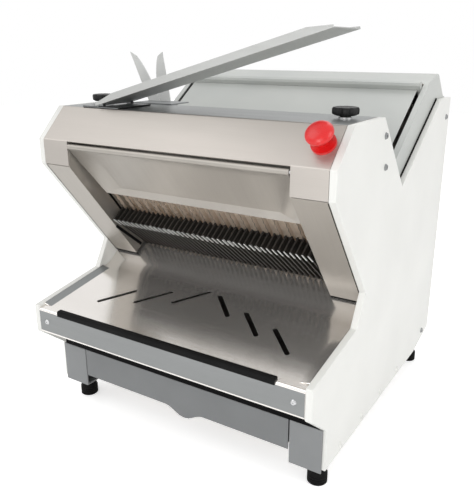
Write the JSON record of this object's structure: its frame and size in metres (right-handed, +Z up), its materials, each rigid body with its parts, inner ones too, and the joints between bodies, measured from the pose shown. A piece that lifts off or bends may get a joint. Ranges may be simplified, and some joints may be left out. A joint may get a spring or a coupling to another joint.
{
  "type": "bread slicer machine",
  "caption": "Table-top bakery bread slicer: sloped loaf chute, tilted frames of reciprocating blades behind a flap, slice tray, crumb drawer and tilting bagging trough.",
  "frame": {"origin": "centre of the bounding box's floor, on the table under the middle of the machine", "axes": "+X to the machine's right as seen from the slice tray, +Y from the tray towards the loading chute at the rear, +Z up"},
  "size_m": [0.596, 0.65, 0.7342],
  "materials": {
    "white_paint": "satin",
    "stainless": "brushed",
    "bed_grey": "satin",
    "grey_paint": "satin",
    "dark_paint": "satin",
    "bright_steel": "ground",
    "cast_grey": "as cast",
    "motor_alloy": "cast",
    "black_plastic": "matt",
    "pale_plastic": "satin",
    "red_plastic": "gloss",
    "black_rubber": "matt"
  },
  "bodies": {
    "machine": {"left_side_panel": "white_paint", "right_side_panel": "white_paint", "panel_bolts": "bright_steel", "vee_seals": "black_rubber", "base_plate": "stainless", "left_front_leg": "grey_paint", "right_front_leg": "grey_paint", "left_rear_leg": "grey_paint", "right_rear_leg": "grey_paint", "rubber_feet": "black_rubber", "foot_stems": "bright_steel", "rear_cover": "stainless", "power_inlet": "black_plastic", "control_box": "dark_paint", "tie_bars": "bright_steel", "head_cover": "stainless", "left_column": "stainless", "right_column": "stainless", "flap_pin": "bright_steel", "slice_tray": "stainless", "tray_screws": "bright_steel", "edge_strip": "black_rubber", "front_skirt": "dark_paint", "crumb_deflector": "stainless", "drawer_runners": "black_plastic", "guide_rods": "bright_steel", "guide_blocks": "cast_grey", "slice_comb": "dark_paint", "bearing_stands": "cast_grey", "motor_housing": "motor_alloy", "motor_cradle": "cast_grey", "drive_belt": "black_rubber", "loaf_chute": "bed_grey", "pusher_rods": "bright_steel", "rod_clamps": "cast_grey", "knob_washers": "bright_steel", "knob_bosses": "cast_grey", "button_collar": "red_plastic", "contact_block": "black_plastic", "trough_bracket": "black_plastic", "trough_pin": "bright_steel", "finger_strip": "dark_paint", "bag_fingers": "pale_plastic"},
    "flap": {"mouth_flap": "stainless"},
    "drawer": {"crumb_drawer": "grey_paint"},
    "front_blade_frame": {"front_frame": "bright_steel", "front_blades": "bright_steel"},
    "rear_blade_frame": {"rear_frame": "bright_steel", "rear_blades": "bright_steel"},
    "crank": {"crankshaft": "bright_steel", "crank_pulley": "cast_grey"},
    "front_drive_rod": {"front_rod": "cast_grey"},
    "rear_drive_rod": {"rear_rod": "cast_grey"},
    "motor_rotor": {"motor_pulley": "cast_grey"},
    "pusher": {"loaf_pusher": "bed_grey", "pusher_runners": "black_plastic"},
    "left_clamp_knob": {"left_knob": "black_plastic"},
    "right_clamp_knob": {"right_knob": "black_plastic"},
    "button": {"stop_button": "red_plastic"},
    "trough": {"bagging_trough": "stainless"}
  },
  "joints": [
    {"name": "flap_hinge", "type": "hinge", "parent": "machine", "child": "flap", "pos_m": [0, -0.27053, 0.53546], "axis": [-1, 0, 0], "range_deg": [0, 60]},
    {"name": "drawer_slide", "type": "slide", "parent": "machine", "child": "drawer", "axis": [0, -1, 0], "range_m": [0, 0.2]},
    {"name": "front_frame_slide", "type": "slide", "parent": "machine", "child": "front_blade_frame", "axis": [0, -0.6221, 0.7829], "range_m": [-0.006, 0.006]},
    {"name": "rear_frame_slide", "type": "slide", "parent": "machine", "child": "rear_blade_frame", "axis": [0, -0.6221, 0.7829], "range_m": [-0.006, 0.006]},
    {"name": "crank_spin", "type": "hinge", "parent": "machine", "child": "crank", "pos_m": [0, 0.04532, 0.17817], "axis": [1, 0, 0], "continuous": true},
    {"name": "front_rod_turn", "type": "hinge", "parent": "crank", "child": "front_drive_rod", "pos_m": [-0.03, 0.04062, 0.17444], "axis": [1, 0, 0], "continuous": true},
    {"name": "rear_rod_turn", "type": "hinge", "parent": "crank", "child": "rear_drive_rod", "pos_m": [0.03, 0.05001, 0.1819], "axis": [1, 0, 0], "continuous": true},
    {"name": "motor_spin", "type": "hinge", "parent": "machine", "child": "motor_rotor", "pos_m": [-0.115, 0.241, 0.15], "axis": [1, 0, 0], "continuous": true},
    {"name": "pusher_slide", "type": "slide", "parent": "machine", "child": "pusher", "axis": [0, -0.8223, -0.5691], "range_m": [0, 0.3]},
    {"name": "left_knob_turn", "type": "hinge", "parent": "machine", "child": "left_clamp_knob", "pos_m": [-0.25, -0.145, 0.6], "axis": [0, 0, 1], "continuous": true},
    {"name": "right_knob_turn", "type": "hinge", "parent": "machine", "child": "right_clamp_knob", "pos_m": [0.25, -0.145, 0.6], "axis": [0, 0, 1], "continuous": true},
    {"name": "stop_button_press", "type": "slide", "parent": "machine", "child": "button", "axis": [0, 0.7071, -0.7071], "range_m": [0, 0.005], "stiffness_N_per_m": 800, "springref_m": -0.002},
    {"name": "trough_tilt", "type": "hinge", "parent": "machine", "child": "trough", "pos_m": [-0.19, -0.175, 0.609], "axis": [0, -1, 0], "range_deg": [-8, 55]}
  ],
  "couplings": [
    {"joint": "rear_frame_slide", "follows": "front_frame_slide", "ratio": -1},
    {"joint": "front_rod_turn", "follows": "crank_spin", "ratio": -1},
    {"joint": "rear_rod_turn", "follows": "crank_spin", "ratio": -1},
    {"joint": "motor_spin", "follows": "crank_spin", "ratio": 2}
  ]
}
